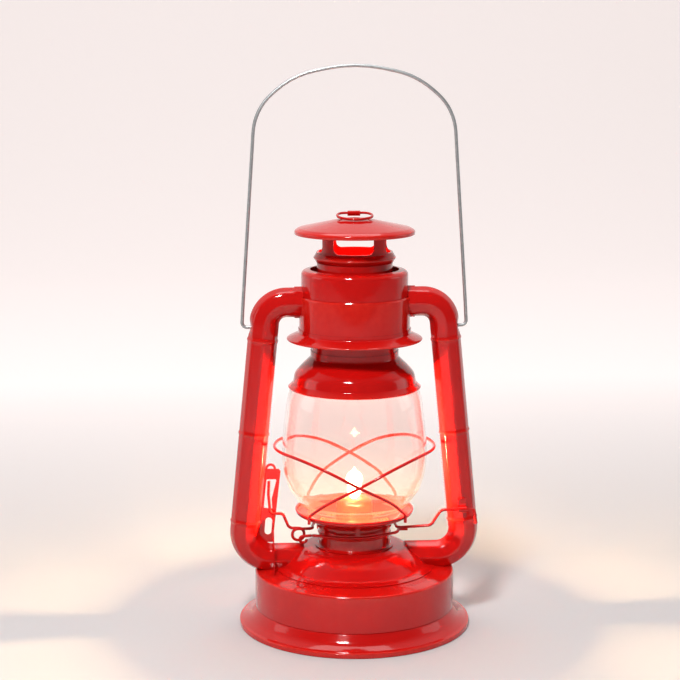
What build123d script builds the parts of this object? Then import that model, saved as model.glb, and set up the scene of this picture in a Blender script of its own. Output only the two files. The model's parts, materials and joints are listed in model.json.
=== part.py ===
from build123d import *
import math
import os

# A tubular hurricane lantern. Millimetres, +Z up, origin on the floor at the middle of the foot.
# The two air tubes stand along X, the front is -Y.

# ---- driving dimensions -------------------------------------------------------------------
SHEET = 0.7                 # tinplate thickness, lacquer included
FOOT_RADIUS = 83.9
TANK_RADIUS = 72.4
TANK_TOP = 40.4             # height of the tank's upper edge
DOME_TOP = 57.8
COLLAR_RADIUS = 26.1
COLLAR_TOP = 75.0
PLATE_RADIUS = 42.4         # globe plate
PLATE_BOTTOM = 75.2
PLATE_TOP = 84.4
GLASS = 2.0                 # globe wall
HOOD_RADIUS = 39.6
HOOD_BOTTOM = 214.4
HOOD_TOP = 260.0
COVER_RADIUS = 38.1
FLUE_RADIUS = 30.8          # chimney inside the hood
NECK_RADIUS = 27.0          # chimney above the hood
LEDGE_HEIGHT = 217.6        # ledge on the chimney that the spring pushes on
CAP_RADIUS = 43.0
CAP_EDGE = 284.9
TUBE_RIDGE = 11.0           # reach of an air tube's ridges from its centre line
TUBE_TOP = 236.4            # centre of the upper run
TUBE_BOTTOM = 48.6          # centre of the lower run
TUBE_X_TOP = 63.1           # corner of the upper bend
TUBE_X_BOTTOM = 81.7        # corner of the lower bend
UPPER_BEND = 16.0
LOWER_BEND = 20.0
BAIL_PIVOT = 218.8
BAIL_WIRE = 1.25            # radius
BAIL_TOP = 402.7
LEVER_WIRE = 1.05           # radius
LEVER_PIVOT = (77.1, -13.3, 85.7)
HOOP_RADIUS = 30.5          # lever wire around the collar
HOOP_HEIGHT = 71.0
GUARD_WIRE = 1.1            # radius
BURNER_TURN = -15           # degrees about Z, turns the wick knob behind the collar
SHAFT_HEIGHT = 64.5
SHAFT_RADIUS = 1.5
WHEEL_RADIUS = 3.2
WICK_WIDTH = 16.0
WICK_THICKNESS = 2.5
SHAFT_OFFSET = WHEEL_RADIUS + WICK_THICKNESS / 2 + 0.15
FILLER_X, FILLER_Y = -12.0, 57.8
FILLER_RADIUS = 10.0
RING_WIRE = 0.9             # radius of the finger ring's wire
RING_BAR_Y, RING_BAR_Z = 7.6, 299.1
SPRING_WIRE = 0.6           # radius
SPRING_RADIUS = 34.4
RUNNING_FIT = 0.08
BEAD_HEIGHTS = (209.5, 141.5, 76.5)

os.makedirs("parts", exist_ok=True)


# ---- helpers ------------------------------------------------------------------------------
def save(name, shape):
    """Write one piece to its own STEP file."""
    export_step(shape, f"parts/{name}.step")


def offset_path(points, distance):
    """Move an open outline sideways by a distance, to its right for a positive one."""
    moved = []
    count = len(points)
    normals = []
    for i in range(count - 1):
        run = (Vector(*points[i + 1]) - Vector(*points[i])).normalized()
        normals.append(Vector(run.Y, -run.X))
    for i in range(count):
        before = normals[max(i - 1, 0)]
        after = normals[min(i, count - 2)]
        mitre = (before + after).normalized()
        reach = distance / mitre.dot(after)
        if points[i][0] == 0:
            moved.append((0, points[i][1] + distance / after.Y))
        else:
            moved.append((points[i][0] + mitre.X * reach, points[i][1] + mitre.Y * reach))
    return moved


def inner_radii(points, radii, distance):
    """Bend radii of the offset outline, so that the sheet keeps its thickness in every bend."""
    result = []
    for i, radius in enumerate(radii):
        a = Vector(*points[i + 1]) - Vector(*points[i])
        b = Vector(*points[i + 2]) - Vector(*points[i + 1])
        turns_left = a.X * b.Y - a.Y * b.X > 0
        changed = radius + distance if turns_left else radius - distance
        result.append(max(changed, 0) if radius > 0 else 0)
    return result


def turned_sheet(points, radii, thickness=SHEET):
    """Sheet turned about Z. The outline (radius, height) is its outer face, the sheet lies to its right."""
    inner_points = offset_path(points, thickness)
    outer = FilletPolyline(*points, radius=radii)
    inner = FilletPolyline(*inner_points, radius=inner_radii(points, radii, thickness))
    ends = [Line(points[0], inner_points[0]), Line(points[-1], inner_points[-1])]
    profile = make_face([*outer.edges(), *inner.edges(), *ends])
    return revolve(Plane.XZ * profile, Axis.Z)


def turned_solid(points):
    """Solid turned about Z from a closed outline (radius, height)."""
    profile = make_face(Polyline(*points, close=True))
    return revolve(Plane.XZ * profile, Axis.Z)


def ring(outer, inner, low, high):
    """Plain ring about Z."""
    return turned_solid([(inner, low), (outer, low), (outer, high), (inner, high)])


def disc(radius, low, high):
    """Plain disc about Z."""
    return Pos(0, 0, (low + high) / 2) * Cylinder(radius, high - low)


def bend_radii(points):
    """A bend radius for each corner of a wire, as large as its two runs allow."""
    radii = []
    for i in range(1, len(points) - 1):
        a = Vector(*points[i]) - Vector(*points[i - 1])
        b = Vector(*points[i + 1]) - Vector(*points[i])
        turn = math.radians(a.get_angle(b))
        radii.append(0.45 * min(a.length, b.length) / math.tan(turn / 2))
    return radii


def bent_wire(points, radius, radii=None):
    """Round wire along straight runs joined by tangent arcs."""
    path = FilletPolyline(*points, radius=radii or bend_radii(points))
    section = Plane(origin=path @ 0, z_dir=path % 0) * Circle(radius)
    return sweep(section, path=path)


def mirrored_x(shape):
    return mirror(shape, about=Plane.YZ)


def around(radius, azimuth, height):
    """Point at an azimuth in degrees, 0 at the front and 90 on the right."""
    angle = math.radians(azimuth)
    return (radius * math.sin(angle), -radius * math.cos(angle), height)


# ---- air tubes ----------------------------------------------------------------------------
def tube_path():
    """Centre line of the right tube, from the hood down to the dome."""
    points = [(30, 0, TUBE_TOP), (TUBE_X_TOP, 0, TUBE_TOP), (TUBE_X_BOTTOM, 0, TUBE_BOTTOM),
              (34, 0, TUBE_BOTTOM)]
    return FilletPolyline(*points, radius=[UPPER_BEND, LOWER_BEND])


def ridged_section(size, corner):
    """Eight-sided tube section with a ridge to the front and rounded ridges."""
    return fillet(RegularPolygon(size, 8).vertices(), corner)


def ridged_bar(size, corner=3.0):
    """Solid bar of the tube's section along the tube's centre line."""
    path = tube_path()
    section = Plane(origin=path @ 0, x_dir=(0, 1, 0), z_dir=path % 0) * ridged_section(size, corner)
    return sweep(section, path=path)


def tube_bead(height):
    """Pressed bead around the straight run of the tube."""
    lean = (TUBE_X_BOTTOM - TUBE_X_TOP) / (TUBE_TOP - TUBE_BOTTOM)
    centre = (TUBE_X_TOP + (TUBE_TOP - height) * lean, 0, height)
    plane = Plane(origin=centre, x_dir=(0, 1, 0), z_dir=(lean, 0, -1))
    bead = extrude(plane * ridged_section(TUBE_RIDGE + 0.35, 3.0), amount=0.8, both=True)
    return bead


tube_outside = ridged_bar(TUBE_RIDGE)
tube_inside = ridged_bar(TUBE_RIDGE - SHEET, 2.4)
both_insides = tube_inside + mirrored_x(tube_inside)

# ---- fount: tank, foot, dome --------------------------------------------------------------
tank_outline = [(20.5, 43.2), (52, 43.2), (TANK_RADIUS, TANK_TOP), (TANK_RADIUS, 14.2)]
tank = turned_sheet(tank_outline, [6, 1.8])
tank_envelope = turned_solid([(0, 5), (TANK_RADIUS, 5), (TANK_RADIUS, TANK_TOP - 0.4), (71.6, TANK_TOP),
                              (52, 43.2), (0, 43.2)])
dome_outline = [(COLLAR_RADIUS + 0.1, DOME_TOP), (37.5, 57.2), (45.6, 51.0), (52.5, 43.9), (58, 43.1)]
dome_radii = [9, 12, 6]
dome = turned_sheet(dome_outline, dome_radii, SHEET)
dome_envelope = turned_solid([(0, 42), (58, 42), *reversed(dome_outline), (0, DOME_TOP)])
filler_at = Pos(FILLER_X, FILLER_Y, 0)
filler_bore = filler_at * disc(FILLER_RADIUS, 30, 60)

fount_shell = tank - filler_bore - both_insides
air_dome = dome - filler_bore - tank_envelope - both_insides
save("fount_shell", fount_shell)
save("air_dome", air_dome)

fount_floor = turned_sheet([(0, 10.4), (60, 10.4), (64, 9.0), (70.7, 9.0), (70.7, 4.5)], [3, 3, 1.2])
save("fount_floor", fount_floor)

foot_outline = [(71.6, 22), (71.6, 14.0), (72.6, 13.0), (76.5, 7.0), (82.6, 4.2), (FOOT_RADIUS, 3.4),
                (FOOT_RADIUS, 0.5)]
foot_flare = turned_sheet(foot_outline, [0, 1.0, 9, 3, 0.6])
foot_roll = ring(FOOT_RADIUS, FOOT_RADIUS - 2.6, 0, 2.4)
foot_skirt = foot_flare + fillet(foot_roll.edges().filter_by(GeomType.CIRCLE), 0.8)
save("foot_skirt", foot_skirt)

filler_neck = filler_at * (ring(FILLER_RADIUS, FILLER_RADIUS - 1.2, 39.5, 57.0)
                           + ring(FILLER_RADIUS, FILLER_RADIUS - 2.4, 56.0, 57.0))
save("filler_neck", filler_neck)

# ---- throat and burner --------------------------------------------------------------------
collar_outline = [(COLLAR_RADIUS, COLLAR_TOP), (COLLAR_RADIUS, 68.8), (COLLAR_RADIUS + 0.7, 67.8),
                  (COLLAR_RADIUS, 66.8), (COLLAR_RADIUS, 58.7), (28.6, 58.62)]
shaft_centre = Rot(0, 0, BURNER_TURN) * Pos(SHAFT_OFFSET, 0, SHAFT_HEIGHT)


def shaft_bar(radius, start, end):
    """Bar on the wick shaft's axis between two distances behind the wick."""
    return shaft_centre * Pos(0, (start + end) / 2, 0) * Rot(90, 0, 0) * Cylinder(radius, end - start)


shaft_hole = shaft_bar(SHAFT_RADIUS + RUNNING_FIT, 8, 40)
burner_collar = turned_sheet(collar_outline, [0.8, 0.5, 0.8, 1.2]) - shaft_hole
save("burner_collar", burner_collar)

burner_socket = ring(20.2, 17.6, 40.5, 47.5) + ring(21.8, 17.6, 43.3, 44.3)
save("burner_socket", burner_socket)

wick_slot = Rot(0, 0, BURNER_TURN) * Box(WICK_THICKNESS + 2.3, WICK_WIDTH + 2.3, 200)
wheel_room = Rot(0, 0, BURNER_TURN) * Pos(SHAFT_OFFSET, 0, SHAFT_HEIGHT) * Box(7.6, 14, 8.0)
burner_body = turned_solid([(0, 39.5), (17.3, 39.5), (17.3, 47.8), (19.6, 47.8), (19.6, 49.0), (15.6, 49.6),
                            (15.6, 75.2), (14.9, 75.2), (14.9, 49.6), (6, 49.0), (0, 49.0)])
burner_body -= disc(12.0, 39.0, 46.5)
burner_body -= wick_slot
burner_body -= shaft_hole
save("burner_body", burner_body)

guide_wall = Box(WICK_THICKNESS + 2.2, WICK_WIDTH + 2.2, 52.0)
guide_wall -= Box(WICK_THICKNESS + 1.0, WICK_WIDTH + 1.0, 60)
wick_guide = Pos(0, 0, 64.0) * Rot(0, 0, BURNER_TURN) * guide_wall - wheel_room
save("wick_guide", wick_guide)

air_plate = disc(25.2, 75.3, 76.0) - wick_slot
for row_radius, hole_count in ((18.4, 22), (21.0, 26), (23.4, 30)):
    for spot in PolarLocations(row_radius, hole_count):
        air_plate -= Pos(0, 0, 75.6) * spot * Cylinder(0.9, 4)
save("air_plate", air_plate)

cone_outline = [(0, 94.6), (9.5, 93.4), (13.2, 90.4), (13.4, 78.6), (16.0, 76.8)]
burner_cone = turned_sheet(cone_outline, [4, 2.5, 1.2])
burner_cone -= Rot(0, 0, BURNER_TURN) * Pos(0, 0, 100) * Box(5.0, WICK_WIDTH + 1.5, 30)
save("burner_cone", burner_cone)

# ---- wick and its winder ------------------------------------------------------------------
wick = Pos(0, 0, 56.25) * Rot(0, 0, BURNER_TURN) * Box(WICK_THICKNESS, WICK_WIDTH, 72.5)
save("wick", wick)
wick_shaft = shaft_bar(SHAFT_RADIUS, -7.2, 46.6)
save("wick_shaft", wick_shaft)


def star_wheel(middle):
    """Thin toothed wheel that grips the wick."""
    teeth = 12
    outline = []
    for i in range(2 * teeth):
        reach = WHEEL_RADIUS if i % 2 == 0 else WHEEL_RADIUS - 0.7
        angle = math.pi * i / teeth
        outline.append((reach * math.cos(angle), reach * math.sin(angle)))
    blank = extrude(make_face(Polyline(*outline, close=True)), amount=0.5, both=True)
    return shaft_centre * Pos(0, middle, 0) * Rot(90, 0, 0) * (blank - Cylinder(SHAFT_RADIUS, 4))


wick_wheels = Compound(children=[star_wheel(-4.5), star_wheel(4.5)])
save("wick_wheels", wick_wheels)

knob_blank = Cylinder(9.0, 2.6)
for spot in PolarLocations(9.6, 18):
    knob_blank -= spot * Cylinder(1.1, 5)
knob_blank += Pos(0, 0, -1.6) * Cylinder(4.0, 2.4)
wick_knob = shaft_centre * Pos(0, 43.5, 0) * Rot(-90, 0, 0) * (knob_blank - Cylinder(SHAFT_RADIUS, 20))
save("wick_knob", wick_knob)

# ---- filler cap ---------------------------------------------------------------------------
cap_blank = ring(12.2, FILLER_RADIUS + 0.35, 53.5, 58.9) + disc(12.2, 58.4, 59.3)
for spot in PolarLocations(12.75, 24):
    cap_blank -= Pos(0, 0, 55.5) * spot * Cylinder(0.9, 5.4)
filler_cap = filler_at * cap_blank
save("filler_cap", filler_cap)
filler_seal = filler_at * ring(FILLER_RADIUS - 0.1, 5.0, 57.25, 58.35)
save("filler_seal", filler_seal)

# ---- globe carriage -----------------------------------------------------------------------
plate_outline = [(27.2, 72.6), (27.2, PLATE_BOTTOM), (31.5, 77.2), (40.4, 81.4), (PLATE_RADIUS, 82.6),
                 (PLATE_RADIUS, PLATE_TOP)]
plate_dish = turned_sheet(plate_outline, [0.9, 10, 1.2, 0.6], -SHEET)
plate_lip = Pos(0, 0, PLATE_TOP) * Torus(PLATE_RADIUS - 0.2, 0.75)
lug = Pos(0, HOOP_RADIUS, 74.9) * Box(3.0, 1.4, 5.0)
lug_cut = turned_solid([(0, 77.0), (31.5, 77.6), (40, 81.6), (40, 90), (0, 90)])
globe_plate = plate_dish + plate_lip + (lug - lug_cut) + (mirror(lug, about=Plane.XZ) - lug_cut)
save("globe_plate", globe_plate)

globe_outline = [(33.4, 81.0), (34.4, 86.0), (40.3, 90.6), (47.6, 101.0), (51.5, 113.0), (52.6, 126.0),
                 (51.3, 145.0), (48.4, 168.0), (46.0, 174.0), (42.0, 179.8)]
globe_radii = [4, 8, 14, 30, 34, 60, 40, 10]
globe = turned_sheet(globe_outline, globe_radii, -GLASS)
save("globe", globe)

# Each guard wire starts behind the plate's rim on one side, crosses in front of the globe, turns
# round the other side at its widest and comes back across the rear.
guard_corners = [(43.9, -51.5, 80.8), (44.2, -51.0, 86.5), (51.6, -26, 100.5), (54.6, 0, 113.6),
                 (56.0, 24, 125.2), (57.0, 46, 130.8), (58.4, 69, 131.8), (58.8, 90, 131.4)]
rear_corners = [(radius, 180 - azimuth, height) for radius, azimuth, height in reversed(guard_corners[:-1])]


def guard_wire(shift):
    """Guard wire that leans to the right. The shift keeps the crossing wires apart."""
    points = []
    for radius, azimuth, height in guard_corners + rear_corners:
        near_crossing = max(0.0, 1 - abs(math.sin(math.radians(azimuth))) * 1.6)
        points.append(around(radius + shift * near_crossing, azimuth, height))
    return bent_wire(points, GUARD_WIRE)


save("guard_wire_right", guard_wire(0.0))
save("guard_wire_left", mirrored_x(guard_wire(2.7)))

# ---- chimney ------------------------------------------------------------------------------
bell_outline = [(FLUE_RADIUS + 0.75, 202.0), (FLUE_RADIUS + 0.75, 197.2), (38.0, 191.0), (43.0, 185.6),
                (44.2, 179.0), (47.6, 175.4)]
bell = turned_sheet(bell_outline, [2.2, 9, 9, 1.4])
save("bell", bell)
flue_outline = [(NECK_RADIUS, 272.6), (NECK_RADIUS, 250.4), (FLUE_RADIUS, 247.4), (FLUE_RADIUS, 194.0)]
chimney_tube = turned_sheet(flue_outline, [1.2, 1.2])
save("chimney_tube", chimney_tube)
spring_ledge = ring(36.4, FLUE_RADIUS + 0.05, LEDGE_HEIGHT, LEDGE_HEIGHT + 1.0)
save("spring_ledge", spring_ledge)
chimney_ring = turned_solid([(NECK_RADIUS, 265.0), (27.9, 265.0), (28.3, 266.6), (29.5, 268.4), (28.3, 270.2),
                             (27.9, 271.8), (NECK_RADIUS, 271.8)])
save("chimney_ring", chimney_ring)

crown = ring(NECK_RADIUS - SHEET, NECK_RADIUS - 2 * SHEET, 262.0, 288.6)
for i in range(4):
    window = Pos(0, 0, 278.9) * Box(60, 28.0, 12.4)
    window = fillet(window.edges().filter_by(Axis.X).sort_by(Axis.Z)[:2], 4.0)
    crown -= Rot(0, 0, -96.4 + 90 * i) * Pos(30.5, 0, 0) * window
save("crown", crown)

cap_outline = [(0.0, 296.6), (9.0, 296.1), (CAP_RADIUS - 3.0, 289.4), (CAP_RADIUS, 287.6),
               (CAP_RADIUS - 0.4, CAP_EDGE)]
cap = turned_sheet(cap_outline, [20, 4, 1.8])
save("cap", cap)

# ---- finger ring and its strap -------------------------------------------------------------
ring_side = [(5.5, RING_BAR_Y, RING_BAR_Z), (9.2, RING_BAR_Y, RING_BAR_Z), (12.6, 2.0, RING_BAR_Z - 0.7),
             (12.0, -6.6, RING_BAR_Z - 1.8)]
ring_points = [(-x, y, z) for x, y, z in ring_side]
ring_points.append((0, -15.2, RING_BAR_Z - 2.9))
ring_points.extend(reversed(ring_side))
lift_ring = bent_wire(ring_points, RING_WIRE)
ring_bar = Pos(0, RING_BAR_Y, RING_BAR_Z) * Rot(0, 90, 0) * Cylinder(RING_WIRE, 11.0)
lift_ring += ring_bar
save("lift_ring", lift_ring)
strap_bore = RING_WIRE + RUNNING_FIT
strap_loop = Rot(0, 90, 0) * (Cylinder(strap_bore + 0.6, 9.0) - Cylinder(strap_bore, 12.0))
strap_foot = Pos(0, 2.2, -1.75) * Box(9.0, 6.0, 0.7)
ring_strap = Pos(0, RING_BAR_Y, RING_BAR_Z) * (strap_loop + strap_foot)
ring_strap -= turned_solid([(0, 250), (30, 250), (30, 292.1), (9.0, 296.5), (0, 296.9)])
save("ring_strap", ring_strap)

# ---- hood ---------------------------------------------------------------------------------
hood_outline = [(HOOD_RADIUS - 0.6, 241.2), (HOOD_RADIUS, 240.2), (HOOD_RADIUS, HOOD_BOTTOM)]
cover_outline = [(31.7, HOOD_TOP), (COVER_RADIUS, HOOD_TOP - 0.8), (COVER_RADIUS, 240.2)]
hood_envelope = turned_solid([(0, HOOD_BOTTOM - 1), (HOOD_RADIUS, HOOD_BOTTOM - 1), (HOOD_RADIUS, 240.2),
                              (HOOD_RADIUS - 0.6, 241.25), (COVER_RADIUS, 241.3), (COVER_RADIUS, HOOD_TOP),
                              (0, HOOD_TOP)])
hood_shell = turned_sheet(hood_outline, [1.2]) - both_insides
save("hood_shell", hood_shell)
hood_cover = turned_sheet(cover_outline, [3.4]) - both_insides
save("hood_cover", hood_cover)
flange_seat = HOOD_RADIUS + SHEET + 0.05
flange_outline = [(flange_seat, 217.6), (flange_seat, 214.9), (48.0, 211.3), (48.7, 210.0)]
hood_flange = turned_sheet(flange_outline, [0.8, 0.6])
save("hood_flange", hood_flange)

bail_hole = Pos(77.0, 0, BAIL_PIVOT) * Rot(0, 90, 0) * Cylinder(BAIL_WIRE + RUNNING_FIT, 12)
tube = tube_outside - tube_inside
for bead_height in BEAD_HEIGHTS:
    tube += tube_bead(bead_height) - tube_outside
envelopes = hood_envelope + tank_envelope + dome_envelope
right_tube = (tube - bail_hole) - envelopes
save("right_air_tube", right_tube)
save("left_air_tube", mirrored_x(right_tube))

socket_plane = Plane(origin=(36.0, 0, TUBE_TOP), x_dir=(0, 1, 0), z_dir=(1, 0, 0))
socket_bar = extrude(socket_plane * ridged_section(TUBE_RIDGE + 0.6, 3.2), amount=7.0)
tube_socket = socket_bar - tube_outside - hood_envelope
save("right_tube_socket", tube_socket)
save("left_tube_socket", mirrored_x(tube_socket))

# ---- chimney spring: a few open turns between the ledge and the hood cover ------------------
spring_path = Helix(pitch=12.0, height=37.5, radius=SPRING_RADIUS)
spring_section = Plane(origin=spring_path @ 0, z_dir=spring_path % 0) * Circle(SPRING_WIRE)
chimney_spring = Pos(0, 0, LEDGE_HEIGHT + 1.9) * sweep(spring_section, path=spring_path)
save("chimney_spring", chimney_spring)

# ---- bail ---------------------------------------------------------------------------------
bail_half = [(72.5, BAIL_PIVOT), (80.4, BAIL_PIVOT), (79.4, 236.0), (70.2, 372.5), (43.5, 396.0)]
bail_points = [(-x, 0, z) for x, z in bail_half]
bail_points.append((0, 0, BAIL_TOP + 2.2))
bail_points.extend((x, 0, z) for x, z in reversed(bail_half))
bail_bends = bend_radii(bail_points)
bail = bent_wire(bail_points, BAIL_WIRE, bail_bends)
for side in (-1, 1):
    bail += Pos(side * 72.6, 0, BAIL_PIVOT) * Rot(0, 90, 0) * Cylinder(2.0, 1.2)
save("bail", bail)

# ---- lift lever ---------------------------------------------------------------------------
px, py, pz = LEVER_PIVOT
coil_x, coil_z, coil_half = -41.0, 66.4, 4.3
lever_points = [
    (-62.0, -1.0, 106.0), (-62.4, -1.0, 96.0), (-61.2, -1.0, 82.0), (-52.0, -1.0, 81.6), (-47.6, -1.0, 70.8),
    (coil_x + coil_half, -1.6, coil_z + coil_half), (coil_x + coil_half, -2.3, coil_z - coil_half),
    (coil_x - coil_half, -3.0, coil_z - coil_half), (coil_x - coil_half, -3.7, coil_z + coil_half),
    (-HOOP_RADIUS, -4.4, HOOP_HEIGHT), (-HOOP_RADIUS, 17.6, HOOP_HEIGHT), (0, 35.2, HOOP_HEIGHT),
    (HOOP_RADIUS, 17.6, HOOP_HEIGHT), (HOOP_RADIUS, -6.0, HOOP_HEIGHT), (55.0, -10.0, 73.4),
    (61.8, py, pz), (86.0, py, pz), (87.6, py + 0.2, 75.0)]
lever_radii = [6.0, 3.0, 3.0, 4.0, 4.1, 4.1, 4.1, 4.1, 3.0, 30.2, 30.2, 30.2, 4.5, 5.0, 5.0, 2.2]
lift_lever = bent_wire(lever_points, LEVER_WIRE, lever_radii)
save("lift_lever", lift_lever)

curl_x, curl_z, curl_half = -37.6, 63.6, 2.4
hoop_points = [
    (curl_x + curl_half, -5.9, curl_z), (curl_x + curl_half, -6.0, curl_z - curl_half),
    (curl_x - curl_half, -6.3, curl_z - curl_half), (curl_x - curl_half, -7.4, curl_z + curl_half),
    (-HOOP_RADIUS - 0.8, -8.4, curl_z + curl_half + 1.0), (-HOOP_RADIUS, -18.2, HOOP_HEIGHT - 1.2),
    (0, -35.6, HOOP_HEIGHT), (HOOP_RADIUS, -17.6, HOOP_HEIGHT), (HOOP_RADIUS + 0.4, -9.9, HOOP_HEIGHT),
    (38.0, -10.4, HOOP_HEIGHT)]
hoop_radii = [2.3, 2.3, 2.3, 2.6, 8.0, 28.0, 9.0, 2.2]
lever_hoop = bent_wire(hoop_points, LEVER_WIRE, hoop_radii)
save("lever_hoop", lever_hoop)

# ---- latch plate on the left tube and clip on the right one ---------------------------------
left_tube_bar = mirrored_x(tube_outside)
plate_edge = [(-53.4, 112.6), (-54.6, 114.2), (-74.0, 114.6), (-76.0, 59.6), (-59.4, 59.6)]
window_edge = [(-63.6, 106.6), (-56.3, 106.6), (-60.0, 92.0), (-59.6, 84.4), (-65.8, 85.4)]
latch_face = make_face(Polyline(*plate_edge, close=True))
latch_face -= fillet(make_face(Polyline(*window_edge, close=True)).vertices(), 0.9)
slot_face = Pos(-62.5, 71.7) * Rot(0, 0, 85) * SlotOverall(12.8, 5.0)
latch_face -= slot_face
latch_face += Pos(-60.6, 114.4) * (Circle(3.9) - Circle(2.2))
latch_plane = Plane(origin=(0, 2.8, 0), x_dir=(1, 0, 0), z_dir=(0, -1, 0))
latch = extrude(latch_plane * latch_face, amount=0.8)
leg_plane = Plane(origin=(-59.6, 0, 0), x_dir=(0, 1, 0), z_dir=(1, 0, 0))
leg_edge = [(2.8, 79.2), (-2.6, 78.6), (-16.6, 62.0), (-22.2, 42.6), (-22.4, 40.6), (-17.0, 40.6),
            (-12.6, 60.4), (2.8, 61.4)]
latch_leg = extrude(leg_plane * make_face(Polyline(*leg_edge, close=True)), amount=0.8)
lever_guide = (latch + latch_leg) - left_tube_bar - tank_envelope
save("lever_guide", lever_guide)

clip_eye = Pos(px, py, pz) * Rot(0, 90, 0) * (Cylinder(2.2, 6.4) - Cylinder(1.6, 12))
clip_tab = Pos(px, -11.3, pz + 3.6) * Box(6.4, 0.8, 8.6)
lever_clip = clip_eye + (clip_tab - Pos(px, py, pz) * Rot(0, 90, 0) * Cylinder(1.6, 12))
save("lever_clip", lever_clip)


def rivet_head(x, y, z):
    """Low domed rivet head that faces the front."""
    return Pos(x, y, z) * Rot(90, 0, 0) * (Cylinder(1.3, 0.8) + Pos(0, 0, 0.4) * Cylinder(0.9, 0.5))


clip_rivets = Compound(children=[rivet_head(px + step, -12.1, pz + 6.0) for step in (1.4, -1.4)])
save("clip_rivets", clip_rivets)
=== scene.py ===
"""Looks of a red enamelled hurricane lantern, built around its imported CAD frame."""

import json
import logging
import math
from collections.abc import Sequence
from dataclasses import dataclass
from enum import Enum

import bmesh
import bpy
from mathutils import Matrix, Vector

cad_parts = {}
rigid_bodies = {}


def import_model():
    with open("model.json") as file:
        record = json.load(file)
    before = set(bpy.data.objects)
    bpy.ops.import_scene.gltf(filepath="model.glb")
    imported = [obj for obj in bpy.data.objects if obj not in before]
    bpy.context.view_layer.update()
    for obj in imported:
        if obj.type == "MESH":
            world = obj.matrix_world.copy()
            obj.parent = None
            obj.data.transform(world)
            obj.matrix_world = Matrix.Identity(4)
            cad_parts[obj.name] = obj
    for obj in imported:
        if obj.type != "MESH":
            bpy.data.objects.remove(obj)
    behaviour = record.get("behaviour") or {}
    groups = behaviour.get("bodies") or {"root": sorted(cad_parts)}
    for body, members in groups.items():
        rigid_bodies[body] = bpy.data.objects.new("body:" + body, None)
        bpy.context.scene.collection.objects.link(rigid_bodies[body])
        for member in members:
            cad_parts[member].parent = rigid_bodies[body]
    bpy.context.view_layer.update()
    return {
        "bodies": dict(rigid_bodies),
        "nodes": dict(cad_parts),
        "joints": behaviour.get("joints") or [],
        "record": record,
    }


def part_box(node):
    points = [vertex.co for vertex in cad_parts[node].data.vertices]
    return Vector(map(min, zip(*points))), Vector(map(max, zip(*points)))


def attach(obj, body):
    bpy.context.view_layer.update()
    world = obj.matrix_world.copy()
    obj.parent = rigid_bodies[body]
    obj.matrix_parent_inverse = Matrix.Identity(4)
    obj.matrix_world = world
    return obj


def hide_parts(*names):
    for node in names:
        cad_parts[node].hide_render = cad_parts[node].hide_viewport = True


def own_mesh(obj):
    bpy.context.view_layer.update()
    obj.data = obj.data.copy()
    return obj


LOG = logging.getLogger("lantern")
MM = 0.001
Point2 = tuple[float, float]
Point3 = tuple[float, float, float]


# ---- colours and node helpers ---------------------------------------------------------------
def linear(hex_colour: str) -> tuple[float, float, float, float]:
    """Turn an sRGB hex colour into the linear colour that shaders use.

    Args:
        hex_colour: Six hex digits with a leading hash.

    Returns:
        Linear red, green, blue and an alpha of 1.
    """
    channels = [int(hex_colour[i:i + 2], 16) / 255 for i in (1, 3, 5)]
    values = [c / 12.92 if c <= 0.04045 else ((c + 0.055) / 1.055) ** 2.4 for c in channels]
    return (values[0], values[1], values[2], 1.0)


def add_node(tree: bpy.types.NodeTree, kind: str, inputs: dict | None = None, **settings) -> bpy.types.Node:
    """Add a node, set its options and fill or link its inputs.

    Args:
        tree: Tree that gets the node.
        kind: Node class name.
        inputs: Socket name or number to a value or to an output socket.
        **settings: Node properties.

    Returns:
        The new node.
    """
    node = tree.nodes.new(kind)
    for name, value in settings.items():
        setattr(node, name, value)
    for key, value in (inputs or {}).items():
        if isinstance(value, bpy.types.NodeSocket):
            tree.links.new(value, node.inputs[key])
        else:
            node.inputs[key].default_value = value
    return node


def pattern_scale(size_mm: float) -> float:
    """Scale of a procedural pattern on Object coordinates for a feature of that size.

    Args:
        size_mm: Size of the feature in mm.

    Returns:
        Scale for a texture node.
    """
    return 1.0 / (size_mm * MM)


# ---- finishes -------------------------------------------------------------------------------
@dataclass(frozen=True)
class Finish:
    """A real material and the way its surface was made."""

    name: str

    def start(self) -> tuple[bpy.types.Material, bpy.types.NodeTree, bpy.types.Node, bpy.types.NodeSocket]:
        """Make an empty material with one Principled shader.

        Returns:
            The material, its tree, the shader, and the Object coordinates.
        """
        material = bpy.data.materials.new(self.name)
        material.use_nodes = True
        tree = material.node_tree
        tree.nodes.clear()
        shader = add_node(tree, "ShaderNodeBsdfPrincipled")
        add_node(tree, "ShaderNodeOutputMaterial", {"Surface": shader.outputs["BSDF"]})
        coordinates = add_node(tree, "ShaderNodeTexCoord").outputs["Object"]
        return material, tree, shader, coordinates


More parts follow.
